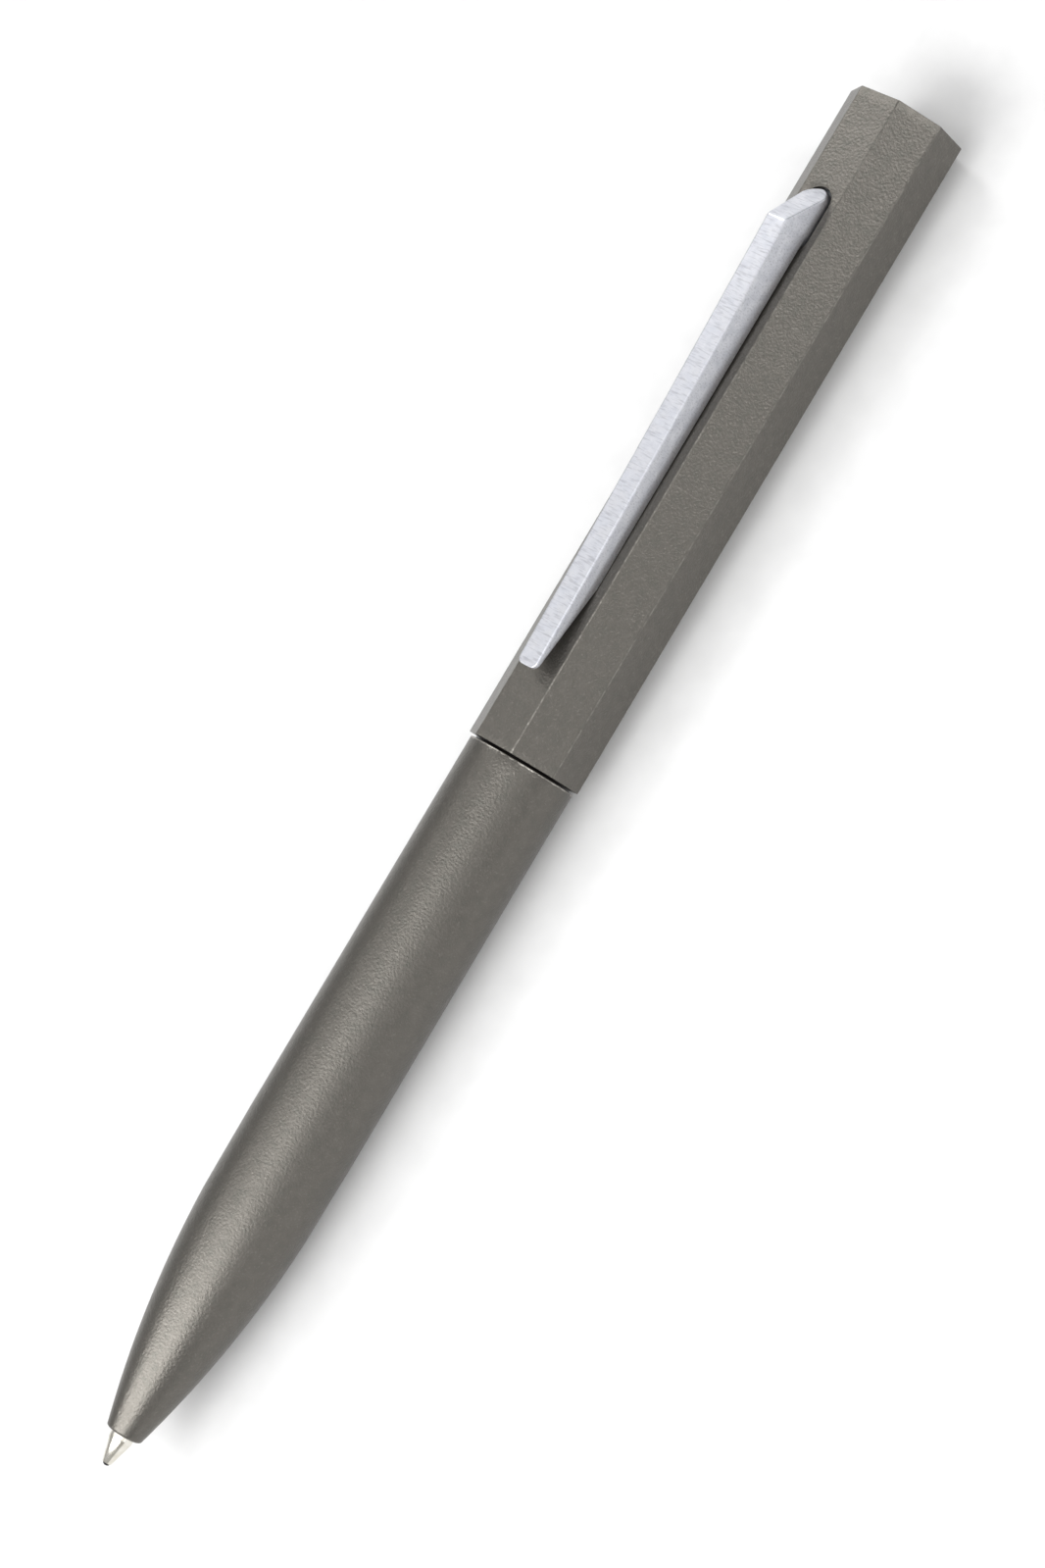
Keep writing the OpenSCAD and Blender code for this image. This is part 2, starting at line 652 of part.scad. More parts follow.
// The lengths that the sizes above give, and the gaps between the turns of the two springs
echo(pen_len = top_z, lower_len = seam_z - nozzle_z, upper_len = upper_len);
echo(return_spring_gap = (shoulder_at - face_gap - spring_seat_z - spring_wire) / spring_turns - spring_wire,
    clip_spring_gap = (clip_spring_len - clip_wire) / clip_turns - clip_wire);

lower_barrel();
thread_bush();
mechanism_tube();
drag_ring();
cam_washer();
snap_ring();
return_spring();
plunger();
refill_tube();
refill_crown();
refill_neck();
ink_column();
writing_point();
writing_ball();
upper_barrel();
drive_tube();
spiral_cam();
clip_carrier();
hinge_pin();
clip_spring();
end_plug();
clip();
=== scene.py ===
"""Twist-action ballpoint pen: the looks of each piece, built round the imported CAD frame.

Places along the pen are counted in mm from the writing ball, as in the part's source. Across the
pen, x points out through the clip and y to the side, both from the pen's axis.
"""
import bmesh
import bpy
import numpy as np
from mathutils import Matrix, Vector


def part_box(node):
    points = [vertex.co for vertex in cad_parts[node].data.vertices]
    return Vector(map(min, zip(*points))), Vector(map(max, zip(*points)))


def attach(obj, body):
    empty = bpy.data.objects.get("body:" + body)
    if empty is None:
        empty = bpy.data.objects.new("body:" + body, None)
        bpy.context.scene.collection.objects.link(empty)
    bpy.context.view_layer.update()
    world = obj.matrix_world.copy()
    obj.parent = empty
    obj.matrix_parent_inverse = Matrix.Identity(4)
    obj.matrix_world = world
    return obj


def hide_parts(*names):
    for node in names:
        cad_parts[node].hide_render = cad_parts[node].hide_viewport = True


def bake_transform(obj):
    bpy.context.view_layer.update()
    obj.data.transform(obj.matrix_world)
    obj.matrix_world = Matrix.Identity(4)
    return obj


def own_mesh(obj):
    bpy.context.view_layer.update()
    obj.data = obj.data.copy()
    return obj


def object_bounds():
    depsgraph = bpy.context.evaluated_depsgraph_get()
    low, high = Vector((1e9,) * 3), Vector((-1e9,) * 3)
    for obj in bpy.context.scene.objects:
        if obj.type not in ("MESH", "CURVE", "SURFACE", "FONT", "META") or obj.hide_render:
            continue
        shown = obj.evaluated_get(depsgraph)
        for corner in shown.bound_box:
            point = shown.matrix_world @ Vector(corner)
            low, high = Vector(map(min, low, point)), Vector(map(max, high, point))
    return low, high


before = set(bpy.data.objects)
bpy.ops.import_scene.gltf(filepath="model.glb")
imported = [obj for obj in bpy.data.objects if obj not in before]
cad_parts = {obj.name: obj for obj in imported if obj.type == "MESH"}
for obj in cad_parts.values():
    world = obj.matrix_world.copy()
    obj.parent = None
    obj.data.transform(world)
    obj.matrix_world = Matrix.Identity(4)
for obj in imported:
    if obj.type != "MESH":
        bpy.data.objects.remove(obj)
cad_low, cad_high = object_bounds()


# Lower barrel: a round aluminium tube, turned on a lathe from bar, with a curved nose that ends in
# a small rounded nozzle. Inside it has a seat for the return spring, a bore for the refill and a
# wider bore for the threaded bush. It is blasted, then sprayed with a warm grey metallic lacquer.
MM = 0.001
tip_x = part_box("writing_ball")[0].x
axis_h = (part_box("lower_barrel")[0].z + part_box("lower_barrel")[1].z) / 2


def in_frame(points):
    """Turns (x out of the clip, y, z along the pen) in mm into places in the row frame in metres."""
    x, y, z = np.moveaxis(np.asarray(points, float), -1, 0)
    return np.stack([tip_x + z * MM, -y * MM, axis_h + x * MM], -1)


def quads(rows, columns, closed_rows=False, closed_columns=False):
    """Faces of a grid of points: each joins a point to the next in its row and in the next row."""
    r = np.arange(rows if closed_rows else rows - 1)[:, None]
    c = np.arange(columns if closed_columns else columns - 1)[None, :]
    r2, c2 = (r + 1) % rows, (c + 1) % columns
    corners = [r * columns + c, r * columns + c2, r2 * columns + c2, r2 * columns + c]
    return np.stack([np.broadcast_to(k, (r.size, c.size)) for k in corners], -1).reshape(-1, 4)


def turned(outline, sides=144):
    """A turned shell: each (r, z) of the outline goes round the axis at x = r cos a, y = r sin a. An
    outline that starts and ends on the axis closes there, and any other is a loop."""
    r, z = np.asarray(outline, float).T
    a = np.arange(sides) * 2 * np.pi / sides
    points = np.stack([np.outer(r, np.cos(a)), np.outer(r, np.sin(a)), np.outer(z, np.ones(sides))], -1)
    return points.reshape(-1, 3), quads(r.size, sides, r[0] > 0, True)


def quarter(centre, radius, start, steps=5):
    """A quarter circle of (r, z) round centre, from the angle start onwards, anticlockwise."""
    a = np.radians(start) + np.linspace(0, np.pi / 2, steps)
    return np.stack([centre[0] + radius * np.cos(a), centre[1] + radius * np.sin(a)], -1).tolist()


def bow(p, q, bulge, steps):
    """Points of the circular arc from p to q that stands out by bulge from the straight line."""
    p, q = np.array(p, float), np.array(q, float)
    chord = np.linalg.norm(q - p)
    along = (q - p) / chord
    out = np.array([along[1], -along[0]])
    radius = (chord ** 2 / 4 + bulge ** 2) / (2 * bulge)
    centre = (p + q) / 2 - out * (radius - bulge)
    a = np.linspace(1, -1, steps)[:, None] * np.arcsin(chord / 2 / radius)
    return (centre + radius * (out * np.cos(a) - along * np.sin(a))).tolist()


def smooth_mesh(name, shell, sharp=32):
    """A mesh of a closed shell of (points in mm, faces), with its doubles merged, its faces without
    an area taken out, and the rest smooth up to the angle sharp."""
    points, faces = shell
    mesh = bpy.data.meshes.new(name)
    mesh.from_pydata(in_frame(points), [], faces)
    solid = bmesh.new()
    solid.from_mesh(mesh)
    bmesh.ops.remove_doubles(solid, verts=solid.verts, dist=0.0005 * MM)
    flat = [f for f in solid.faces if f.calc_area() < 2e-6 * MM * MM]
    bmesh.ops.delete(solid, geom=flat, context="FACES_ONLY")
    bmesh.ops.delete(solid, geom=[e for e in solid.edges if not e.link_faces], context="EDGES")
    bmesh.ops.delete(solid, geom=[v for v in solid.verts if not v.link_faces], context="VERTS")
    solid.to_mesh(mesh)
    solid.free()
    mesh.shade_smooth()
    mesh.set_sharp_from_angle(angle=np.radians(sharp))
    return mesh


def piece(name, mesh, body, slot, material, *stands_for):
    """Puts a mesh into the scene as a piece that stands for CAD nodes and rides on a body, or on
    none."""
    mesh.materials.append(material)
    made = bpy.data.objects.new(name, mesh)
    bpy.context.scene.collection.objects.link(made)
    if body:
        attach(made, body)
    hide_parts(*stands_for)
    return made


def linear(code):
    """The linear colour that an sRGB hex code stands for."""
    s = np.array([int(code[k:k + 2], 16) for k in (0, 2, 4)]) / 255
    return (*np.where(s <= 0.04045, s / 12.92, ((s + 0.055) / 1.055) ** 2.4), 1.0)


def add_node(tree, kind, inputs=(), stops=(), **settings):
    """Adds a shader node, sets it, and fills its inputs: a node or socket is linked, a hex code
    becomes its colour, and anything else is set. The stops are a ramp's (place, hex code). Inputs go
    by name, or by number where names repeat: a colour mix has its share at 0 and its colours at 6
    and 7, and a map from one range to another has the first at 1 and 2 and the second at 3 and 4."""
    node = tree.nodes.new("ShaderNode" + kind)
    for key, value in settings.items():
        setattr(node, key, value)
    for k, (at, code) in enumerate(stops):
        band = node.color_ramp.elements
        element = band[k] if k < 2 else band.new(at)
        element.position, element.color = at, linear(code)
    for key, value in dict(inputs).items():
        if isinstance(value, bpy.types.Node):
            value = next(o for o in value.outputs if o.enabled)
        if isinstance(value, bpy.types.NodeSocket):
            tree.links.new(value, node.inputs[key])
        else:
            node.inputs[key].default_value = linear(value) if isinstance(value, str) else value
    return node


def new_finish(name, **constants):
    """A material whose shader has these constants; gives it, its tree and its Object coordinates."""
    made = bpy.data.materials.new(name)
    made.use_nodes = True
    for key, value in constants.items():
        made.node_tree.nodes["Principled BSDF"].inputs[key.replace("_", " ")].default_value = value
    return made, made.node_tree, add_node(made.node_tree, "TexCoord").outputs["Object"]


def apply_finish(tree, colour, roughness, relief, depth_mm):
    """Gives the shader its colour, its roughness, and a relief that is depth_mm deep."""
    shader = tree.nodes["Principled BSDF"]
    bump = add_node(tree, "Bump", {"Height": relief, "Strength": 1.0, "Distance": depth_mm * MM})
    for key, node in (("Base Color", colour), ("Roughness", roughness), ("Normal", bump)):
        tree.links.new(next(o for o in node.outputs if o.enabled), shader.inputs[key])


# Metallic lacquer over blasted aluminium: a satin sheet with flakes that lie a little unevenly, so
# the eye sees faint blots, pale specks and a skin that ripples. The real specks and ripples are a
# tenth of a millimetre and less, and are drawn about 0.2 mm wide so that they show. Sharp rims and
# the octagon's long edges are worn to a paler line.
lacquer_dark, lacquer_mid, lacquer_pale = "615f5a", "64615c", "67645f"
lacquer_speck, lacquer_worn = "85817b", "b9b5ae"
blot, speck, chip, ripple, ripple_depth = 0.9, 0.2, 0.5, 0.24, 0.045
rim_wear, edge_reach, edge_wear, edge_fade = 0.34, 5.712, 0.014, 0.004


def lacquered_aluminium(name, seam_side):
    """Grey lacquer worn at the seam and on the octagon's long edges; seam_side is +1 for the piece
    above the seam. The worn rim reaches as far from the seam as the noise of the chips says, up to
    rim_wear. An edge is worn where the distance from the pen's axis comes near edge_reach."""
    made, tree, place = new_finish(name, Metallic=0.85)
    blots = add_node(tree, "TexNoise", {"Vector": place, "Scale": 1 / (blot * MM), "Detail": 3.0})
    specks = add_node(tree, "TexNoise", {"Vector": place, "Scale": 1 / (speck * MM), "Detail": 1.0})
    chips = add_node(tree, "TexNoise", {"Vector": place, "Scale": 1 / (chip * MM), "Detail": 2.0})
    colour = add_node(tree, "ValToRGB", {0: blots},
                      stops=((0.35, lacquer_dark), (0.68, lacquer_pale), (0.5, lacquer_mid)))
    bright = add_node(tree, "MapRange", {"Value": specks, 1: 0.6, 2: 0.8, 3: 0.0, 4: 0.4})
    colour = add_node(tree, "Mix", {0: bright, 6: colour, 7: lacquer_speck}, data_type="RGBA")
    dull = add_node(tree, "MapRange", {"Value": specks, 1: 0.4, 2: 0.25, 3: 0.0, 4: 0.4})
    colour = add_node(tree, "Mix", {0: dull, 6: colour, 7: lacquer_dark}, data_type="RGBA")
    along = add_node(tree, "SeparateXYZ", {0: place}).outputs[0]
    from_seam = add_node(tree, "Math", {0: along, 1: tip_x + seam_z * MM}, operation="SUBTRACT")
    from_seam = add_node(tree, "Math", {0: from_seam, 1: seam_side / MM}, operation="MULTIPLY")
    worn = add_node(tree, "Math", {0: chips, 1: rim_wear, 2: 0.0}, operation="MULTIPLY")
    worn = add_node(tree, "Math", {0: worn, 1: from_seam}, operation="SUBTRACT")
    worn = add_node(tree, "MapRange", {"Value": worn, 1: 0.0, 2: 0.05, 3: 0.0, 4: 0.7})
    colour = add_node(tree, "Mix", {0: worn, 6: colour, 7: lacquer_worn}, data_type="RGBA")
    off_axis = add_node(tree, "VectorMath", {0: place, 1: (0, 0, axis_h)}, operation="SUBTRACT")
    off_axis = add_node(tree, "VectorMath", {0: off_axis, 1: (0, 1, 1)}, operation="MULTIPLY")
    off_axis = add_node(tree, "VectorMath", {0: off_axis}, operation="LENGTH").outputs["Value"]
    rubbed = add_node(tree, "MapRange", {"Value": off_axis, 1: (edge_reach - edge_wear) * MM,
                                         2: (edge_reach - edge_fade) * MM, 3: 0.0, 4: 1.0})
    patchy = add_node(tree, "MapRange", {"Value": chips, 1: 0.4, 2: 0.65, 3: 0.05, 4: 0.25})
    rubbed = add_node(tree, "Math", {0: rubbed, 1: patchy}, operation="MULTIPLY")
    colour = add_node(tree, "Mix", {0: rubbed, 6: colour, 7: lacquer_worn}, data_type="RGBA")
    satin = add_node(tree, "MapRange", {"Value": blots, 1: 0.3, 2: 0.7, 3: 0.37, 4: 0.34})
    skin = add_node(tree, "TexNoise", {"Vector": place, "Scale": 1 / (ripple * MM), "Detail": 3.0})
    apply_finish(tree, colour, satin, skin, ripple_depth)
    return made


nozzle_z, seam_z = 3.15, 72.0
nozzle_bore_r, nozzle_r, lip_r = 1.255, 1.8, 0.35
nose_end_z, nose_end_r, nose_bulge = 25.85, 5.145, 0.64
straight_z, barrel_r, rim_r = 33.65, 5.225, 0.12
bush_r, bush_z = 4.5, 63.0
wide_r, wide_z, refill_bore_r, shoulder_z = 3.7, 24.65, 3.1, 12.54
spring_bore_r, spring_seat_z = 2.1, 7.2

barrel_outline = [
    [nozzle_bore_r, nozzle_z + 0.05], [nozzle_bore_r + 0.05, nozzle_z],
    *quarter((nozzle_r - lip_r, nozzle_z + lip_r), lip_r, -90, 7),
    *bow((nozzle_r, nozzle_z + lip_r), (nose_end_r, nose_end_z), nose_bulge, 48)[1:],
    *[[nose_end_r + (barrel_r - nose_end_r) * s, nose_end_z + (straight_z - nose_end_z) * s]
      for s in (0.25, 0.5, 0.75, 1.0)],
    [barrel_r, straight_z + 1], [barrel_r, seam_z - rim_r - 1],
    *quarter((barrel_r - rim_r, seam_z - rim_r), rim_r, 0, 5),
    [bush_r, seam_z], [bush_r, bush_z], [wide_r, bush_z], [wide_r, wide_z],
    [refill_bore_r, wide_z - 1.2], [refill_bore_r, shoulder_z], [spring_bore_r, shoulder_z],
    [spring_bore_r, spring_seat_z], [nozzle_bore_r, spring_seat_z]]
piece("Lower_barrel_shell", smooth_mesh("Lower barrel", turned(barrel_outline, 192)), "lower",
      "grey_paint", lacquered_aluminium("Grey lacquer on blasted aluminium, lower", -1), "lower_barrel")


# Threaded bush, mechanism tube and drive tube: brass, turned on a lathe. The bush is bonded into
# the lower barrel, the tube screws into it, and the drive tube is pressed into the upper barrel.
# The tool leaves fine rings round the axis, 0.12 mm apart here so that they show, and the brass
# has dulled a little in patches. The tube's collar, which shows in the seam, is painted near-black
# there as painted shade, standing in for the shade in the narrow seam gap.
def turned_brass():
    """Brass with turning rings, a noise that is read only along the pen, and painted shade: near-black
    within 0.3 mm of the seam, for the shade in the seam gap."""
    made, tree, place = new_finish("Turned brass", Metallic=1.0)
    rings_at = add_node(tree, "VectorMath", {0: place, 1: (1.0, 0.02, 0.02)}, operation="MULTIPLY")
    rings = add_node(tree, "TexNoise", {"Vector": rings_at, "Scale": 1 / (0.12 * MM), "Detail": 2.0})
    dulled = add_node(tree, "TexNoise", {"Vector": place, "Scale": 1 / (2.5 * MM), "Detail": 3.0})
    colour = add_node(tree, "ValToRGB", {0: dulled},
                      stops=((0.3, "a98a4e"), (0.7, "d2b577"), (0.5, "c3a364")))
    along = add_node(tree, "SeparateXYZ", {0: place}).outputs[0]
    from_seam = add_node(tree, "Math", {0: along, 1: tip_x + (seam_z + 0.1) * MM}, operation="SUBTRACT")
    from_seam = add_node(tree, "Math", {0: from_seam, 1: 0.0}, operation="ABSOLUTE")
    # Painted shade: near-black on the collar within 0.3 mm of the seam stands in for the shade in the
    # seam gap.
    black = add_node(tree, "MapRange", {"Value": from_seam, 1: 0.34 * MM, 2: 0.3 * MM, 3: 0.0, 4: 1.0})
    colour = add_node(tree, "Mix", {0: black, 6: colour, 7: "131211"}, data_type="RGBA")
    rough = add_node(tree, "MapRange", {"Value": dulled, 1: 0.3, 2: 0.7, 3: 0.38, 4: 0.26})
    apply_finish(tree, colour, rough, rings, 0.004)
    return made


def finish_nodes(material, *nodes):
    """Gives CAD nodes a material."""
    for node in nodes:
        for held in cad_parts[node].material_slots:
            held.material = material


finish_nodes(turned_brass(), "thread_bush", "mechanism_tube", "drive_tube")


# Drag ring: a nitrile rubber O-ring in the mechanism tube's groove. It gives the twist its drag.
# Moulded rubber is dull and nearly black, with a fine skin and a trace of grey bloom.
def moulded_rubber():
    """Rubber with a bloom in blots of 0.8 mm and a skin of 0.1 mm grains."""
    made, tree, place = new_finish("Moulded nitrile rubber", Specular_IOR_Level=0.35)
    bloom = add_node(tree, "TexNoise", {"Vector": place, "Scale": 1 / (0.8 * MM), "Detail": 3.0})
    skin = add_node(tree, "TexNoise", {"Vector": place, "Scale": 1 / (0.1 * MM), "Detail": 2.0})
    colour = add_node(tree, "ValToRGB", {0: bloom}, stops=((0.35, "131313"), (0.7, "242322")))
    rough = add_node(tree, "MapRange", {"Value": bloom, 1: 0.3, 2: 0.7, 3: 0.7, 4: 0.85})
    apply_finish(tree, colour, rough, skin, 0.008)
    return made


finish_nodes(moulded_rubber(), "drag_ring")


# Cam washer, snap ring, hinge pin and the two springs: hardened spring steel. The wire is drawn and
# wound, the ring and the washer are stamped from strip, and the pin is ground.
def spring_steel():
    """Drawn steel: streaks that are long one way and 0.06 mm the other, with blue-grey tempering."""
    made, tree, place = new_finish("Drawn spring steel", Metallic=1.0)
    drawn_at = add_node(tree, "VectorMath", {0: place, 1: (1.0, 0.15, 1.0)}, operation="MULTIPLY")
    streaks = add_node(tree, "TexNoise", {"Vector": drawn_at, "Scale": 1 / (0.06 * MM), "Detail": 2.0})
    temper = add_node(tree, "TexNoise", {"Vector": place, "Scale": 1 / (1.5 * MM), "Detail": 2.0})
    colour = add_node(tree, "ValToRGB", {0: temper},
                      stops=((0.3, "9699a0"), (0.7, "bcbdc0"), (0.5, "acaeb3")))
    rough = add_node(tree, "MapRange", {"Value": streaks, 1: 0.3, 2: 0.7, 3: 0.24, 4: 0.36})
    apply_finish(tree, colour, rough, streaks, 0.002)
    return made


def wound_wire(outer_r, wire, turns, length):
    """A spring along +z from 0 to length: a circle of the wire's radius carried along a helix whose
    end half turns lie flat, shrinking to a point at each end over a wire's radius."""
    run = np.linspace(0, turns, int(turns * 40) + 1)
    rise = np.interp(run, [0, 0.5, turns - 0.5, turns], [0, 0.1, 0.9, 1]) * (length - wire) + wire / 2
    rounding = np.sin(np.linspace(0.2, 1, 4) * np.pi / 2)
    wire_r = np.full(run.size, wire / 2)
    wire_r[:4] *= rounding
    wire_r[-4:] *= rounding[::-1]
    b = np.arange(16) * 2 * np.pi / 16
    out = outer_r - wire / 2 + wire_r[:, None] * np.cos(b)
    points = np.stack([out * np.cos(run * 2 * np.pi)[:, None], out * np.sin(run * 2 * np.pi)[:, None],
                       rise[:, None] + wire_r[:, None] * np.sin(b)], -1)
    ends = points[[0, -1]].mean(1, keepdims=True).repeat(b.size, 1)
    points = np.concatenate([ends[:1], points, ends[1:]])
    return points.reshape(-1, 3), quads(*points.shape[:2], False, True)[:, ::-1]


wound_steel = spring_steel()
finish_nodes(wound_steel, "cam_washer", "snap_ring", "hinge_pin")
return_r, return_wire, return_turns, return_end_z = 1.99, 0.4, 5, 12.54
coil_points, coil_faces = wound_wire(return_r, return_wire, return_turns, return_end_z - spring_seat_z)
return_coil = smooth_mesh("Return spring", (coil_points + [0, 0, spring_seat_z], coil_faces), 60)
return_coil = piece("Return_spring", return_coil, None, "spring_steel", wound_steel, "return_spring")
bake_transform(return_coil)
clip_coil_r, clip_wire, clip_turns, clip_coil_len = 1.1, 0.3, 4.5, 4.0
clip_coil_low_x, clip_coil_z, clip_coil_keep = -0.85, 131.35, 0.885
coil_points, coil_faces = wound_wire(clip_coil_r, clip_wire, clip_turns, clip_coil_len)
coil_points = coil_points[:, [2, 1, 0]] * [1, 1, -1] + [clip_coil_low_x, 0, clip_coil_z]
clip_coil = piece("Clip_spring", smooth_mesh("Clip spring", (coil_points, coil_faces), 60), "upper",
                  "spring_steel", wound_steel, "clip_spring")
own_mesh(clip_coil)


# Spiral cam and plunger: white acetal, injection moulded. Acetal is waxy and slightly warm, with a
# fine spark-eroded texture from the mould; the sliding faces are polished by wear.
def moulded_acetal():
    """White acetal: cream blots of 2 mm and a mould grain of 0.08 mm."""
    made, tree, place = new_finish("Moulded white acetal", IOR=1.48, Subsurface_Weight=0.08,
                                   Subsurface_Scale=0.4 * MM)
    blots = add_node(tree, "TexNoise", {"Vector": place, "Scale": 1 / (2.0 * MM), "Detail": 3.0})
    mould = add_node(tree, "TexNoise", {"Vector": place, "Scale": 1 / (0.08 * MM), "Detail": 1.0})
    colour = add_node(tree, "ValToRGB", {0: blots}, stops=((0.3, "dcd8cb"), (0.7, "ece9df")))
    rough = add_node(tree, "MapRange", {"Value": blots, 1: 0.3, 2: 0.7, 3: 0.36, 4: 0.48})
    apply_finish(tree, colour, rough, mould, 0.003)
    return made


finish_nodes(moulded_acetal(), "spiral_cam", "plunger")


# Upper barrel: an octagonal aluminium tube, extruded, reamed round inside, cut square at both ends
# and milled through one flat with a round-ended slot for the clip. Same grey lacquer. Its long
# edges are barely rounded, so the lacquer is thin on them and they show as fine pale lines.
upper_z, top_z = 72.26, 139.0
flat_h, edge_r, bore_r = 5.3, 0.3, 4.6
slot_low_z, slot_high_z, slot_half_w = 122.78, 129.3, 1.445
end_round, slot_round, flat_margin, box_margin = 0.06, 0.05, 0.06, 0.6
flats, arc_steps, columns, end_rows, long_rows = 8, 7, 8, 3, 6
half_turn = np.pi / flats
flat_half_w = (flat_h - edge_r) * np.tan(half_turn)
box_half_w = flat_half_w - flat_margin
slot_start, slot_end = slot_low_z + slot_half_w, slot_high_z - slot_half_w


def octagon(inset):
    """The octagon of (x, y) drawn in by inset, anticlockwise: for each flat a row of points across
    it, then the corner's arc, of radius edge_r - inset round its own centre."""
    across = np.linspace(-box_half_w, box_half_w, columns + 1)
    a = np.linspace(0, 2 * half_turn, arc_steps)
    corner = np.stack([np.cos(a), np.sin(a)], -1) * (edge_r - inset) + [flat_h - edge_r, flat_half_w]
    sector = np.concatenate([np.stack([np.full(columns + 1, flat_h - inset), across], -1), corner])
    turn = np.arange(flats)[:, None] * 2 * half_turn
    x, y = sector.T
    turned_x = x * np.cos(turn) - y * np.sin(turn)
    turned_y = x * np.sin(turn) + y * np.cos(turn)
    return np.stack([turned_x, turned_y], -1).reshape(-1, 2)


def slot_loop(half_w, boxed=False):
    """(y, z) points round the clip's slot, or round the box that holds it, one for one. The low end
    turns through 180 degrees from its -y side, and the box's corners take the points at 45 degrees;
    the rest is the same loop turned half round the slot's middle."""
    knots = np.array([0, end_rows, end_rows + columns, 2 * end_rows + columns])
    steps = np.arange(knots[-1] + 1)
    if boxed:
        box_low = slot_low_z - box_margin
        y = np.interp(steps, knots, [-half_w, -half_w, half_w, half_w])
        z = np.interp(steps, knots, [slot_start, box_low, box_low, slot_start])
    else:
        a = np.radians(np.interp(steps, knots, [180, 225, 315, 360]))
        y, z = half_w * np.cos(a), slot_start + half_w * np.sin(a)
    along = np.linspace(slot_start, slot_end, long_rows + 1)[1:-1]
    straight = np.stack([np.full(along.size, half_w), along], -1)
    half = np.concatenate([np.stack([y, z], -1), straight])
    return np.concatenate([half, [0, slot_start + slot_end] - half])


def on_flat(loop, x):
    """Puts a loop of (y, z) at the height x above the pen's axis."""
    return np.insert(loop, 0, x, axis=1)


def on_bore(loop):
    """Drops a loop of (y, z) on to the round bore: x is the root of bore_r squared less y squared."""
    return np.insert(loop, 0, np.sqrt(bore_r ** 2 - loop[:, 0] ** 2), axis=1)


box_z = np.concatenate([np.linspace(slot_low_z - box_margin, slot_start, end_rows + 1)[:-1],
                        np.linspace(slot_start, slot_end, long_rows + 1),
                        np.linspace(slot_end, slot_high_z + box_margin, end_rows + 1)[1:]])
rounding = np.radians(np.linspace(0, 90, 4))
levels = [(end_round * (1 - np.sin(a)), upper_z + end_round * (1 - np.cos(a))) for a in rounding]
levels += [(0, upper_z + 1), *[(0, z) for z in box_z], (0, top_z - 1)]
levels += [(end_round * (1 - np.cos(a)), top_z - end_round * (1 - np.sin(a))) for a in rounding]
outer_rings = [np.insert(octagon(inset), 2, z, axis=1) for inset, z in levels]
way = np.arctan2(*octagon(0).T[::-1])
bore_ring = bore_r * np.stack([np.cos(way), np.sin(way)], -1)
bore_rings = [np.insert(bore_ring, 2, z, axis=1) for z in (top_z, *box_z[::-1], upper_z)]
walls = np.array(outer_rings + bore_rings)
wall_faces = quads(*walls.shape[:2], True, True).reshape(*walls.shape[:2], 4)
uncut = np.ones(wall_faces.shape[:2], bool)
uncut[len(rounding) + 1:len(rounding) + len(box_z), :columns] = False
uncut[len(outer_rings) + 1:len(outer_rings) + len(box_z), :columns] = False

slot_edge, slot_box = slot_loop(slot_half_w), slot_loop(box_half_w, boxed=True)
bore_box = slot_box.copy()
bore_box[:, 0] = bore_r * np.sin(np.arctan2(slot_box[:, 0], flat_h))
slot_lip = slot_loop(slot_half_w + slot_round)
slot_rings = [on_flat(slot_box, flat_h), on_flat((slot_box + slot_lip) / 2, flat_h)]
for a in rounding:
    lip = slot_loop(slot_half_w + slot_round * (1 - np.sin(a)))
    slot_rings.append(on_flat(lip, flat_h - slot_round * (1 - np.cos(a))))
slot_rings += [on_bore(slot_edge), on_bore((slot_edge + bore_box) / 2), on_bore(bore_box)]
slot_rings = np.array(slot_rings)
slot_faces = quads(*slot_rings.shape[:2], False, True) + walls.size // 3
upper_points = np.concatenate([walls.reshape(-1, 3), slot_rings.reshape(-1, 3)])
upper_shell = (upper_points, np.concatenate([wall_faces[uncut], slot_faces]))
piece("Upper_barrel_shell", smooth_mesh("Upper barrel", upper_shell), "upper", "grey_paint",
      lacquered_aluminium("Grey lacquer on blasted aluminium, upper", 1), "upper_barrel")


# Clip carrier, refill crown and refill neck: black plastic, injection moulded. The carrier is
# pressed into the upper barrel and holds the clip's pin, and the other two close the refill's tube.
def moulded_black_plastic():
    """Black plastic: flow blots of 1.5 mm and a mould grain of 0.1 mm."""
    made, tree, place = new_finish("Moulded black ABS", IOR=1.53)
    flow = add_node(tree, "TexNoise", {"Vector": place, "Scale": 1 / (1.5 * MM), "Detail": 3.0})
    mould = add_node(tree, "TexNoise", {"Vector": place, "Scale": 1 / (0.1 * MM), "Detail": 2.0})
    colour = add_node(tree, "ValToRGB", {0: flow}, stops=((0.3, "17171a"), (0.7, "26262a")))
    rough = add_node(tree, "MapRange", {"Value": flow, 1: 0.3, 2: 0.7, 3: 0.4, 4: 0.55})
    apply_finish(tree, colour, rough, mould, 0.005)
    return made


finish_nodes(moulded_black_plastic(), "clip_carrier", "refill_crown", "refill_neck")


# Clip: a zinc bar, die cast, tumbled and plated with satin chrome. It rises along the pen to a bend,
# then slopes down to a round-ended foot that enters the slot; inside, a lever reaches back over the
# clip's spring and a jaw hooks under the hinge pin.
tip_z, pad_z, bend_z = 79.53, 88.53, 124.43
foot_z, foot_end_z, foot_r, foot_x = 123.05, 129.03, 1.325, 3.15
tip_h, tip_under_h, bend_h, pad_gap, heel_gap, sag_share = 1.83, 1.45, 3.8, 0.03, 0.28, 0.265
draft, taper, tip_corner_r = np.tan(np.radians(3.39)), 0.00236, 0.6
heel_z, toe_z = foot_z + foot_r, foot_end_z - foot_r
bend_soft, tip_soft, top_soft, under_soft = 0.22, 0.12, 0.16, 0.08


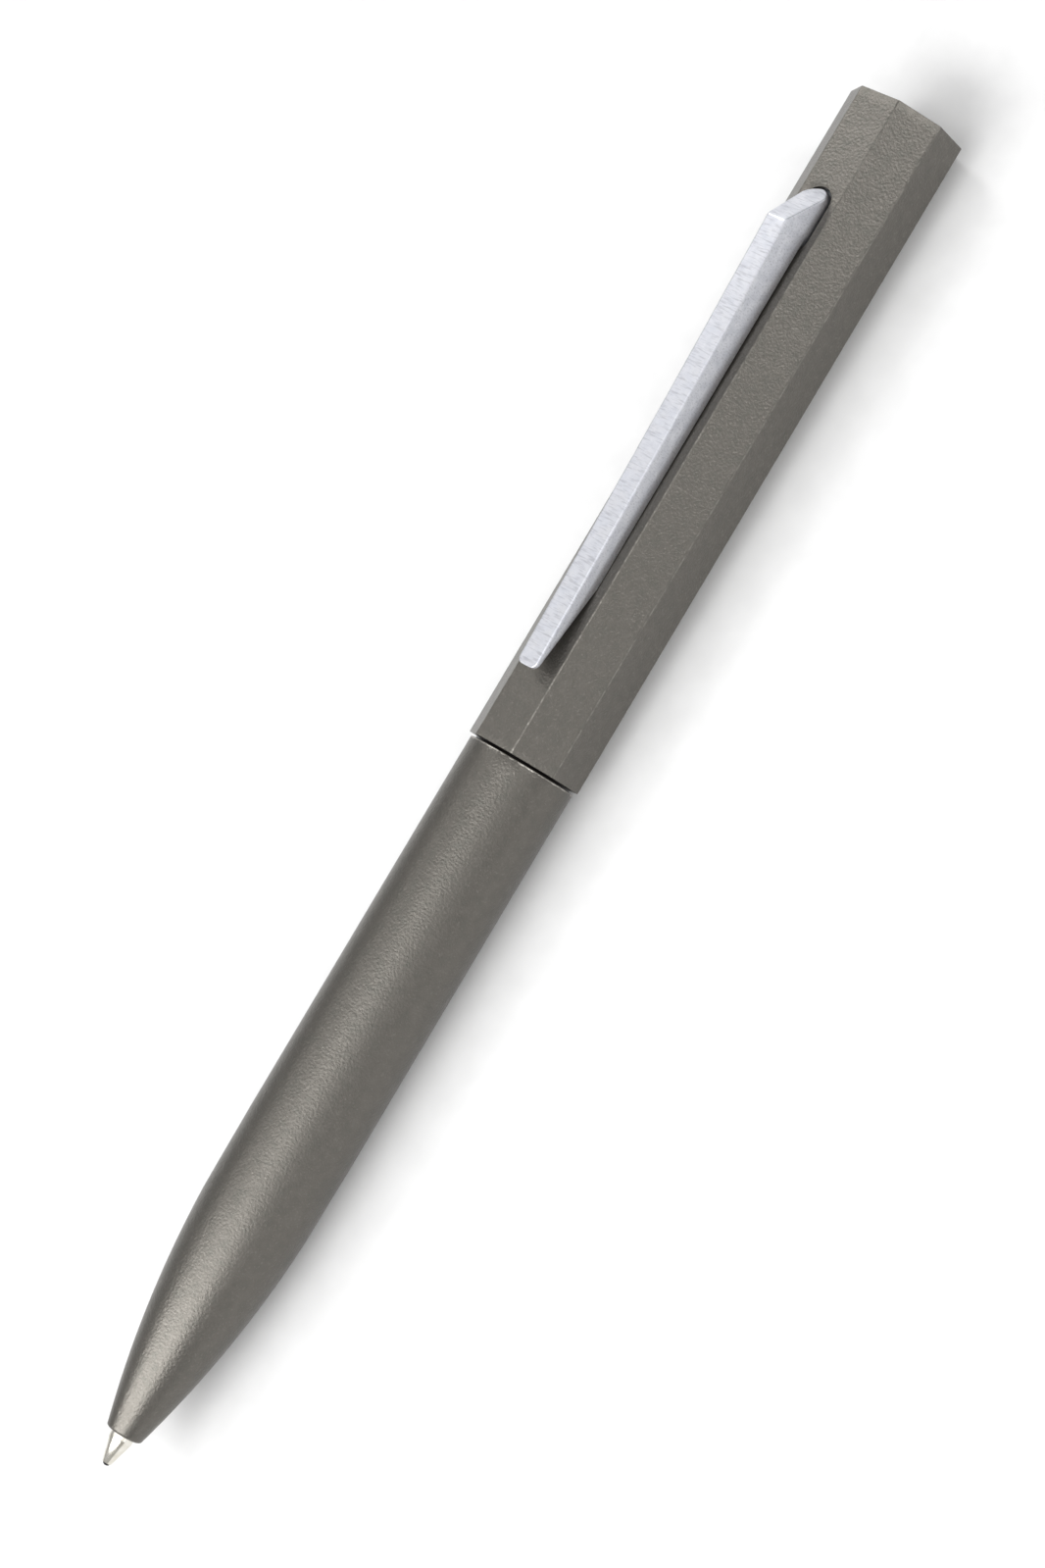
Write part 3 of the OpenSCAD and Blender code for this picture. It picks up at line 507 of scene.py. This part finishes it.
def clip_height(z):
    """Height of the clip's face above the flat: a slightly sagging rise to the bend, then a straight
    fall to the flat; the two meet in a parabola that is bend_soft long on each side."""
    u = (z - tip_z) / (bend_z - tip_z)
    rise = tip_h + (bend_h - tip_h) * ((1 - sag_share) * u + sag_share * u * u)
    fall = bend_h * (foot_end_z - z) / (foot_end_z - bend_z)
    gap = np.clip(bend_soft - np.abs(z - bend_z), 0, None)
    turn = bend_h / (foot_end_z - bend_z) + (bend_h - tip_h) * (1 + sag_share) / (bend_z - tip_z)
    return np.minimum(rise, fall) - turn * gap ** 2 / (4 * bend_soft)


def clip_under(z):
    """Height of the clip's under side above the flat: down the ramp to the pad, then up to the heel.
    Behind the heel it is only a line on the side of the foot."""
    return np.interp(z, [tip_z, pad_z, heel_z, foot_end_z], [tip_under_h, pad_gap, heel_gap, -1.0])


def clip_half_w(z, h):
    """Half the clip's width: it narrows upwards by the draft, towards the tip by the taper, round the
    foot's far end, and in a quarter circle at the tip's corners."""
    side = foot_r - draft * h - taper * (foot_end_z - z)
    far_end = np.sqrt(np.clip(foot_r ** 2 - np.clip(z - toe_z, 0, None) ** 2, 0, None))
    corner = np.clip(tip_z + tip_corner_r - z, 0, tip_corner_r)
    return np.minimum(side, far_end) - tip_corner_r + np.sqrt(tip_corner_r ** 2 - corner ** 2)


def clip_sections(z, footed):
    """Half sections of the clip at the places z, from the middle of its face, over the rounded top
    edge, down the side, round the lower edge, in to the foot and down it to the middle of its end.
    Where it isn't footed yet, the foot's points lie in the middle of the under side."""
    from_tip = np.clip(tip_soft - (z - tip_z), 0, tip_soft)
    drop = tip_soft - np.sqrt(tip_soft ** 2 - from_tip ** 2)
    top, under = clip_height(z) - drop, clip_under(z) + drop
    top_r = np.minimum(top_soft, 0.35 * clip_half_w(z, top))
    under_r = under_soft * np.clip((heel_z - z) / 0.3, 0, 1)
    top_r = np.minimum(top_r, 0.45 * (top - under) + (z > heel_z))
    under_r = np.minimum(under_r, 0.45 * (top - under))
    edge_h, low_h = top - top_r, under + under_r
    edge_w, low_w = clip_half_w(z, edge_h), clip_half_w(z, low_h)
    round_foot = np.sqrt(np.clip(foot_r ** 2 - np.clip(heel_z - z, 0, foot_r) ** 2, 0, None))
    foot_w = np.minimum(round_foot, np.minimum(low_w - under_r, foot_r))
    foot_h = np.where(footed, foot_x - flat_h, under)
    a, nought = np.radians(np.linspace(0, 90, 6))[:, None], np.zeros_like(z)
    across = np.array([0, 0.35, 0.7, 0.94])[:, None]
    inward = np.array([0.1, 0.55, 1.0])[:, None]
    down = np.array([0.06, 0.5, 0.94, 1.0])[:, None]
    y = np.concatenate([across * (edge_w - top_r), edge_w - top_r + top_r * np.sin(a),
                        edge_w + (low_w - edge_w) * down[:2], low_w - under_r + under_r * np.cos(a),
                        (low_w - under_r) * (1 - inward) + foot_w * inward,
                        np.minimum(foot_w, clip_half_w(z, 0)) + nought * down,
                        (0.5 * foot_w)[None], nought[None]])
    h = np.concatenate([top + nought * across, edge_h + top_r * np.cos(a),
                        edge_h + (low_h - edge_h) * down[:2], low_h - under_r * np.sin(a),
                        under + nought * inward, under + (foot_h - under) * down,
                        foot_h[None], foot_h[None]])
    return y.T, h.T


end_turn = 1 - np.cos(np.radians(np.linspace(0, 90, 9)))
clip_z = np.unique(np.round(np.concatenate([
    tip_z + tip_soft * end_turn, tip_z + tip_corner_r * end_turn,
    np.linspace(tip_z + tip_corner_r, bend_z - 1.4, 60), [pad_z - 0.2, pad_z, pad_z + 0.2],
    foot_z + foot_r * end_turn, bend_z + np.linspace(-bend_soft, bend_soft, 9),
    np.linspace(bend_z + bend_soft, toe_z, 7), foot_end_z - foot_r * end_turn]), 5))
foot_row = np.searchsorted(clip_z, foot_z)
clip_z = np.insert(clip_z, foot_row, foot_z)
half_y, half_h = clip_sections(clip_z, np.arange(clip_z.size) > foot_row)
ring_y = np.concatenate([half_y, -half_y[:, -2:0:-1]], axis=1)
ring_h = np.concatenate([half_h, half_h[:, -2:0:-1]], axis=1)
clip_rings = np.stack([flat_h + ring_h, ring_y, np.repeat(clip_z[:, None], ring_y.shape[1], 1)], -1)
tip_point = clip_rings[0].mean(0)
clip_rings = np.concatenate([np.tile(tip_point, (1, ring_y.shape[1], 1)), clip_rings])
clip_bar = (clip_rings.reshape(-1, 3), quads(*clip_rings.shape[:2], False, True))


def satin_chrome():
    """Satin chrome over cast zinc: blots of 0.9 mm left by tumbling, and scratches across the bar,
    from a noise stretched along y. The real scratches are finer, and are drawn 0.14 mm apart so that
    they show."""
    made, tree, place = new_finish("Satin chrome on cast zinc", Metallic=1.0)
    across = add_node(tree, "VectorMath", {0: place, 1: (1.0, 0.12, 0.5)}, operation="MULTIPLY")
    scratches = add_node(tree, "TexNoise", {"Vector": across, "Scale": 1 / (0.14 * MM), "Detail": 2.0})
    blots = add_node(tree, "TexNoise", {"Vector": place, "Scale": 1 / (0.9 * MM), "Detail": 3.0})
    colour = add_node(tree, "ValToRGB", {0: blots}, stops=((0.3, "c4c6cd"), (0.7, "d4d5da")))
    marks = add_node(tree, "MapRange", {"Value": scratches, 1: 0.3, 2: 0.5, 3: 0.45, 4: 0.0})
    colour = add_node(tree, "Mix", {0: marks, 6: colour, 7: "8d8e96"}, data_type="RGBA")
    rough = add_node(tree, "MapRange", {"Value": blots, 1: 0.3, 2: 0.7, 3: 0.42, 4: 0.34})
    apply_finish(tree, colour, rough, scratches, 0.007)
    return made


def drawn_out(outline, half_w):
    """A solid of one side outline of (x, z), anticlockwise, from y = -half_w to half_w."""
    x, z = np.asarray(outline, float).T
    points = np.stack([np.tile(x, 2), np.repeat([-half_w, half_w], x.size), np.tile(z, 2)], -1)
    ends = [list(range(x.size)), list(range(2 * x.size - 1, x.size - 1, -1))]
    return points, quads(2, x.size, False, True)[:, ::-1].tolist() + ends


jaw_x, jaw_end_z, lever_top_x, lever_z, lever_end_z, lever_half_w = 1.29, 127.31, 4.11, 123.1, 132.6, 1.2
pin_x, pin_z, pin_seat_r = 2.6, 126.0, 0.55
seat_turn = np.radians(np.linspace(0, -180, 17))
seat = [[pin_x + pin_seat_r * np.cos(a), pin_z + pin_seat_r * np.sin(a)] for a in seat_turn]
lever_outline = [[jaw_x, lever_z], [lever_top_x, lever_z], [lever_top_x, lever_end_z],
                 [foot_x, lever_end_z], *seat, [pin_x - pin_seat_r, jaw_end_z], [jaw_x, jaw_end_z]]
bar_mesh = smooth_mesh("Clip", clip_bar, 40)
lever = bpy.data.objects.new("Lever", smooth_mesh("Lever", drawn_out(lever_outline, lever_half_w), 40))
clip_piece = piece("Clip_bar", bar_mesh, "clip", "satin_silver", satin_chrome(), "clip")
bpy.context.scene.collection.objects.link(lever)
joined = clip_piece.modifiers.new("Cast in one", "BOOLEAN")
joined.operation, joined.solver, joined.object = "UNION", "EXACT", lever
cast = bpy.data.meshes.new_from_object(clip_piece.evaluated_get(bpy.context.evaluated_depsgraph_get()))
clip_piece.modifiers.clear()
clip_piece.data = cast
cast.set_sharp_from_angle(angle=np.radians(40))
bpy.data.objects.remove(lever)


# End plug: a turned aluminium cup that is pressed into the top end, a little below the rim, and
# lacquered with the barrel.
plug_low_z, plug_top_z, head_t, cup_r, chamfer = 135.65, 138.85, 1.6, 4.25, 0.18
plug_outline = [[0, plug_low_z + head_t], [cup_r, plug_low_z + head_t], [cup_r, plug_low_z],
                [bore_r, plug_low_z], [bore_r, plug_top_z - chamfer], [bore_r - chamfer, plug_top_z],
                [0, plug_top_z]]
piece("End_plug_cup", smooth_mesh("End plug", turned(plug_outline, 144)), "upper", "grey_paint",
      lacquered_aluminium("Grey lacquer on turned aluminium, plug", 1), "end_plug")


# Refill tube: thin drawn steel, closed by the crown behind and by the neck in front. Drawing leaves
# fine bright lines along it, wiped here by handling.
def drawn_tube():
    """Bright steel with lines along the pen: a noise that hardly changes that way."""
    made, tree, place = new_finish("Drawn refill tube", Metallic=1.0)
    along = add_node(tree, "VectorMath", {0: place, 1: (0.02, 1.0, 1.0)}, operation="MULTIPLY")
    lines = add_node(tree, "TexNoise", {"Vector": along, "Scale": 1 / (0.15 * MM), "Detail": 2.0})
    wiped = add_node(tree, "TexNoise", {"Vector": place, "Scale": 1 / (4.0 * MM), "Detail": 3.0})
    colour = add_node(tree, "ValToRGB", {0: wiped}, stops=((0.3, "b5b6ba"), (0.7, "cfd0d2")))
    rough = add_node(tree, "MapRange", {"Value": wiped, 1: 0.3, 2: 0.7, 3: 0.16, 4: 0.28})
    apply_finish(tree, colour, rough, lines, 0.002)
    return made


finish_nodes(drawn_tube(), "refill_tube")


# Ink column: thick blue-black paste ink, which fills the tube and clings to its wall.
def paste_ink():
    """Blue-black ink: glossy, with slow swirls of 1.2 mm."""
    made, tree, place = new_finish("Blue-black paste ink", IOR=1.48)
    swirls = add_node(tree, "TexNoise", {"Vector": place, "Scale": 1 / (1.2 * MM), "Detail": 2.0,
                                         "Distortion": 1.0})
    colour = add_node(tree, "ValToRGB", {0: swirls}, stops=((0.3, "080a1c"), (0.7, "11153a")))
    rough = add_node(tree, "MapRange", {"Value": swirls, 1: 0.3, 2: 0.7, 3: 0.08, 4: 0.2})
    apply_finish(tree, colour, rough, swirls, 0.01)
    return made


finish_nodes(paste_ink(), "ink_column")


# Writing point: nickel silver, turned to a cone and bored for the ink. Its rim is rolled over the
# ball, and the cone and shank are left bright from the tool.
rim_z, cone_end_z, point_end_z = 0.25, 2.7, 11.0
point_r, rim_out_r, duct_r, socket_r, ball_r = 1.125, 0.447, 0.2, 0.415, 0.4
ball_z, shoulder_r = 0.4, 1.0
cone_way = np.arctan2(point_r - rim_out_r, cone_end_z - rim_z)
shoulder_turn = np.linspace(cone_way, 0, 6)
shoulder_top_z = cone_end_z + shoulder_r * np.tan(cone_way / 2)
shoulder = [[point_r - shoulder_r * (1 - np.cos(a)), shoulder_top_z - shoulder_r * np.sin(a)]
            for a in shoulder_turn]
socket_from = np.arcsin((ball_z - rim_z) / socket_r)
socket_turn = np.linspace(np.arccos(duct_r / socket_r), -socket_from, 10)
socket = [[socket_r * np.cos(a), ball_z + socket_r * np.sin(a)] for a in socket_turn]
point_outline = [*socket, [rim_out_r - 0.015, rim_z], [rim_out_r + 0.004, rim_z + 0.02], *shoulder,
                 [point_r, point_end_z - 0.1], [point_r - 0.1, point_end_z], [duct_r, point_end_z]]


def bright_nickel_silver():
    """Nickel silver, bright from the tool: rings, drawn 0.08 mm apart so that they show, and a faint
    warm stain in blots of 0.7 mm."""
    made, tree, place = new_finish("Turned nickel silver", Metallic=1.0)
    rings_at = add_node(tree, "VectorMath", {0: place, 1: (1.0, 0.03, 0.03)}, operation="MULTIPLY")
    rings = add_node(tree, "TexNoise", {"Vector": rings_at, "Scale": 1 / (0.08 * MM), "Detail": 1.0})
    stain = add_node(tree, "TexNoise", {"Vector": place, "Scale": 1 / (0.7 * MM), "Detail": 3.0})
    colour = add_node(tree, "ValToRGB", {0: stain}, stops=((0.35, "cfcabd"), (0.65, "e3e0d8")))
    rough = add_node(tree, "MapRange", {"Value": stain, 1: 0.3, 2: 0.7, 3: 0.24, 4: 0.14})
    apply_finish(tree, colour, rough, rings, 0.0006)
    return made


piece("Writing_point", smooth_mesh("Writing point", turned(point_outline, 96)), "refill",
      "polished_point", bright_nickel_silver(), "writing_point")


# Writing ball: tungsten carbide, ground and lapped. It carries a film of ink, so it looks black.
ball_a = np.radians(np.linspace(-90, 90, 33))
ball_outline = np.stack([ball_r * np.cos(ball_a), ball_z + ball_r * np.sin(ball_a)], -1)
ball_outline[[0, -1], 0] = 0


def inked_carbide():
    """Ground carbide under an uneven film of ink, in blots of 0.2 mm."""
    made, tree, place = new_finish("Inked tungsten carbide", Specular_IOR_Level=0.3)
    film = add_node(tree, "TexNoise", {"Vector": place, "Scale": 1 / (0.2 * MM), "Detail": 2.0})
    colour = add_node(tree, "ValToRGB", {0: film}, stops=((0.35, "060609"), (0.75, "14141b")))
    rough = add_node(tree, "MapRange", {"Value": film, 1: 0.3, 2: 0.7, 3: 0.25, 4: 0.4})
    apply_finish(tree, colour, rough, film, 0.001)
    return made


piece("Writing_ball", smooth_mesh("Writing ball", turned(ball_outline, 64)), "ball", "ball_carbide",
      inked_carbide(), "writing_ball")


# Floor: white card, which the photograph shows as plain white. Seen directly or in metal it also
# shines by itself, so it stays white but keeps the pen's shadow.
def seen_rays(tree):
    """A node that is 1 where a thing is looked at, directly, in metal or through glass, and 0 where
    it only gives light."""
    rays = add_node(tree, "LightPath")
    seen = add_node(tree, "Math", {0: rays.outputs["Is Camera Ray"], 1: rays.outputs["Is Glossy Ray"]},
                    operation="MAXIMUM")
    return add_node(tree, "Math", {0: seen, 1: rays.outputs["Is Transmission Ray"]}, operation="MAXIMUM")


def white_card():
    """White card in faint blots of 3 mm, whose own light is only seen and lights nothing."""
    made, tree, place = new_finish("White card", Roughness=0.9, Specular_IOR_Level=0.1)
    shader = tree.nodes["Principled BSDF"]
    fibres = add_node(tree, "TexNoise", {"Vector": place, "Scale": 1 / (3.0 * MM), "Detail": 2.0})
    colour = add_node(tree, "ValToRGB", {0: fibres}, stops=((0.3, "dadada"), (0.7, "dedede")))
    tree.links.new(colour.outputs[0], shader.inputs["Base Color"])
    own = add_node(tree, "Math", {0: seen_rays(tree), 1: card_glow}, operation="MULTIPLY")
    tree.links.new(own.outputs[0], shader.inputs["Emission Strength"])
    shader.inputs["Emission Color"].default_value = (1, 1, 1, 1)
    return made


card_glow, floor_half, floor_h = 0.07, 1.0, cad_low.z - 0.02 * MM
corners = np.array([[-1, -1, 0], [1, -1, 0], [1, 1, 0], [-1, 1, 0]]) * floor_half + [0, 0, floor_h]
card = bpy.data.meshes.new("Floor")
card.from_pydata(corners, [], [(0, 1, 2, 3)])
card.materials.append(white_card())
floor = bpy.data.objects.new("Floor", card)
bpy.context.scene.collection.objects.link(floor)

# Light: a plain studio. The room gives a little even light and is seen, also in metal and glass, as
# a pale grey, and soft boxes hang over the pen.
world = bpy.data.worlds.new("Studio")
bpy.context.scene.world = world
world.use_nodes = True
air = world.node_tree
room_light, room_seen = 0.18, 0.5
air.nodes["Background"].inputs["Color"].default_value = (1, 1, 1, 1)
strength = add_node(air, "MapRange", {"Value": seen_rays(air), 1: 0.0, 2: 1.0,
                                      3: room_light, 4: room_seen})
air.links.new(strength.outputs[0], air.nodes["Background"].inputs["Strength"])
middle = Vector((0, 0, axis_h))


def lamp(name, towards, distance, width, length, power):
    """A soft box: an area lamp that hangs at a distance in a direction and faces the pen. It is
    width by length in metres, the length across the pen, and its power is in watts."""
    light = bpy.data.lights.new(name, "AREA")
    light.shape, light.size, light.size_y, light.energy = "RECTANGLE", width, length, power
    made = bpy.data.objects.new(name, light)
    towards = Vector(towards).normalized()
    side = Vector((1, 0, 0))
    up = towards.cross(side).normalized()
    made.matrix_world = Matrix.Translation(middle + towards * distance) @ Matrix(
        (up.cross(towards), up, towards)).transposed().to_4x4()
    bpy.context.scene.collection.objects.link(made)
    return made


lamp("Long box over the lower barrel", (-0.26, -0.07, 1), 0.9, 0.3, 2.3, 3.1)
lamp("Long box over the tip", (-0.64, -0.04, 0.76), 0.9, 0.4, 1.15, 9.2)
lamp("Box over the lower barrel", (-0.14, -0.2, 0.95), 0.8, 0.2, 0.5, 0.75)
lamp("Side box before the lower barrel", (-0.2, -0.95, 0.28), 0.8, 0.3, 0.4, 0.35)
lamp("Box before the top end", (0.5, -0.7, 0.56), 0.8, 0.25, 0.36, 1.5)
lamp("Box behind the top end", (0.42, 0.6, 0.68), 0.8, 0.25, 0.4, 1.5)
lamp("Box beyond the top end", (0.85, 0.5, 0.22), 0.9, 0.5, 0.5, 0.8)

# Camera: it looks down on the pen at 54 degrees, from the side of the wide face, 363 mm away.
off_zenith, lean, roll = np.radians(36.35), np.radians(1.3), np.radians(30.786)
camera_distance, aim_along, aim_across = 0.363, 1.1, 0.9
across_view = Vector((0, -np.cos(off_zenith), -np.sin(off_zenith)))
toward_camera = Vector((0, -np.sin(off_zenith), np.cos(off_zenith)))
look = (toward_camera * float(np.cos(lean)) - Vector((np.sin(lean), 0, 0))).normalized()
right = Vector((np.sin(roll), 0, 0)) + across_view * float(np.cos(roll))
right = (right - right.dot(look) * look).normalized()
target = Vector((aim_along * MM, 0, axis_h)) + across_view * aim_across * MM
optics = bpy.data.cameras.new("Camera")
optics.sensor_fit, optics.sensor_width, optics.sensor_height = "VERTICAL", 24.0, 36.0
optics.lens, optics.clip_start, optics.clip_end = 93.9, 0.01, 10.0
camera = bpy.data.objects.new("Camera", optics)
camera.matrix_world = Matrix.Translation(target + look * camera_distance) @ Matrix(
    (right, look.cross(right), look)).transposed().to_4x4()
bpy.context.scene.collection.objects.link(camera)
bpy.context.scene.camera = camera
bpy.context.scene.view_settings.view_transform = "Standard"
